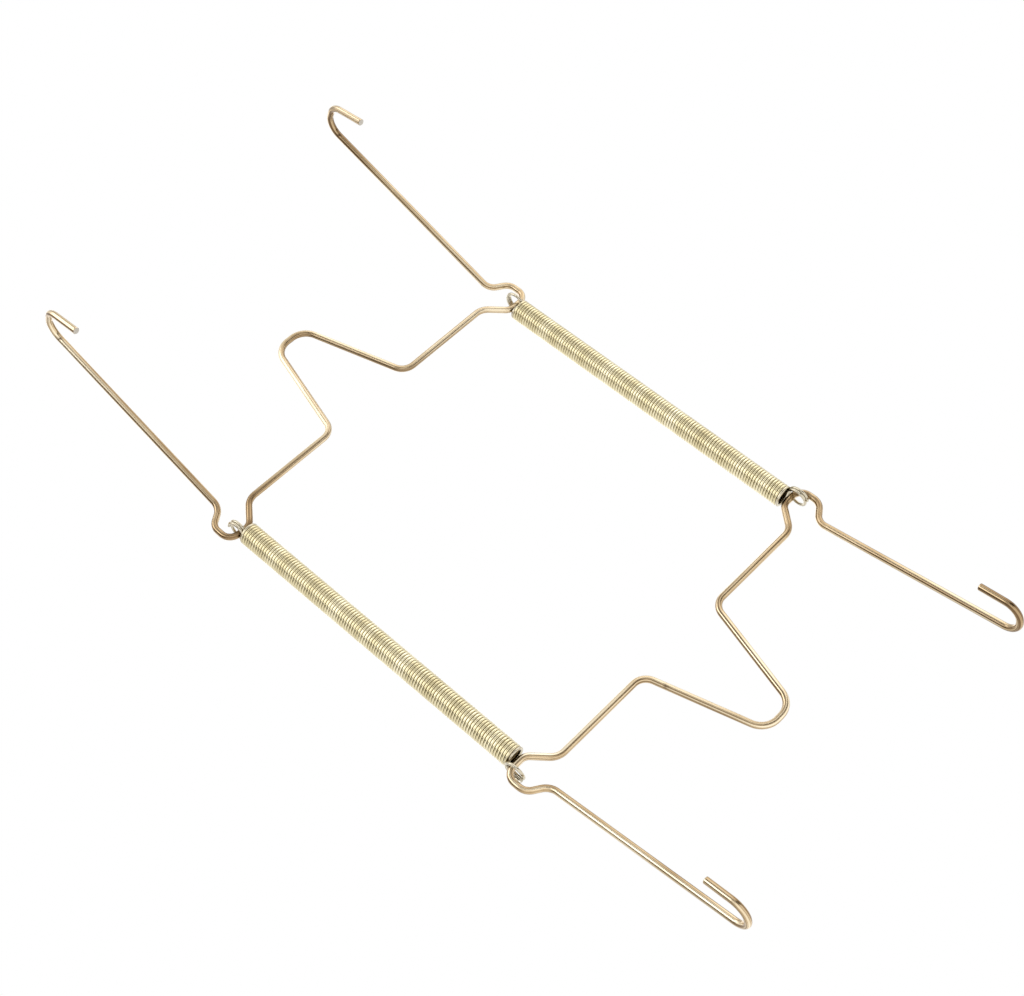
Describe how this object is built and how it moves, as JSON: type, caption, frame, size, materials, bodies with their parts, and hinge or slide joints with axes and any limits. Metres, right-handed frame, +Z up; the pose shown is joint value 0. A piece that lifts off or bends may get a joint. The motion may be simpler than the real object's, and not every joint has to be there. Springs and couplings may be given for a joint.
{
  "type": "plate hanger",
  "caption": "Sprung wire hanger for a display plate: bent wire brackets with rim hooks and nail peaks, drawn together by close-wound springs.",
  "frame": {"origin": "where the nail carries the hanger: the underside of the wire at the top of the upper bracket's peak, on the wire's centre plane", "axes": "+Z up as it hangs on the wall, +X to the right as seen from the room, +Y towards the wall, so the rim hooks reach towards -Y"},
  "size_m": [0.1096, 0.0358, 0.2305],
  "materials": {
    "bracket_wire": "antique brass plating on drawn steel wire, polished",
    "spring_wire": "pale brass plating on spring steel wire"
  },
  "bodies": {
    "upper_bracket": {"upper_bracket": "bracket_wire"},
    "spring_upper_ends": {"left_spring": "spring_wire"},
    "spring_lower_ends": {"right_spring": "spring_wire"},
    "lower_bracket": {"lower_bracket": "bracket_wire"}
  },
  "joints": [
    {"name": "upper_swing", "type": "hinge", "parent": "upper_bracket", "child": "spring_upper_ends", "pos_m": [0, 0, -0.0357], "axis": [1, 0, 0], "range_deg": [-90, 90]},
    {"name": "spring_stretch", "type": "slide", "parent": "spring_upper_ends", "child": "spring_lower_ends", "axis": [0, 0, -1], "range_m": [0, 0.104], "stiffness_N_per_m": 505, "springref_m": -0.004, "deforming": ["left_spring", "right_spring"]},
    {"name": "lower_swing", "type": "hinge", "parent": "spring_lower_ends", "child": "lower_bracket", "pos_m": [0, 0, -0.1298], "axis": [1, 0, 0], "range_deg": [-90, 90]}
  ]
}
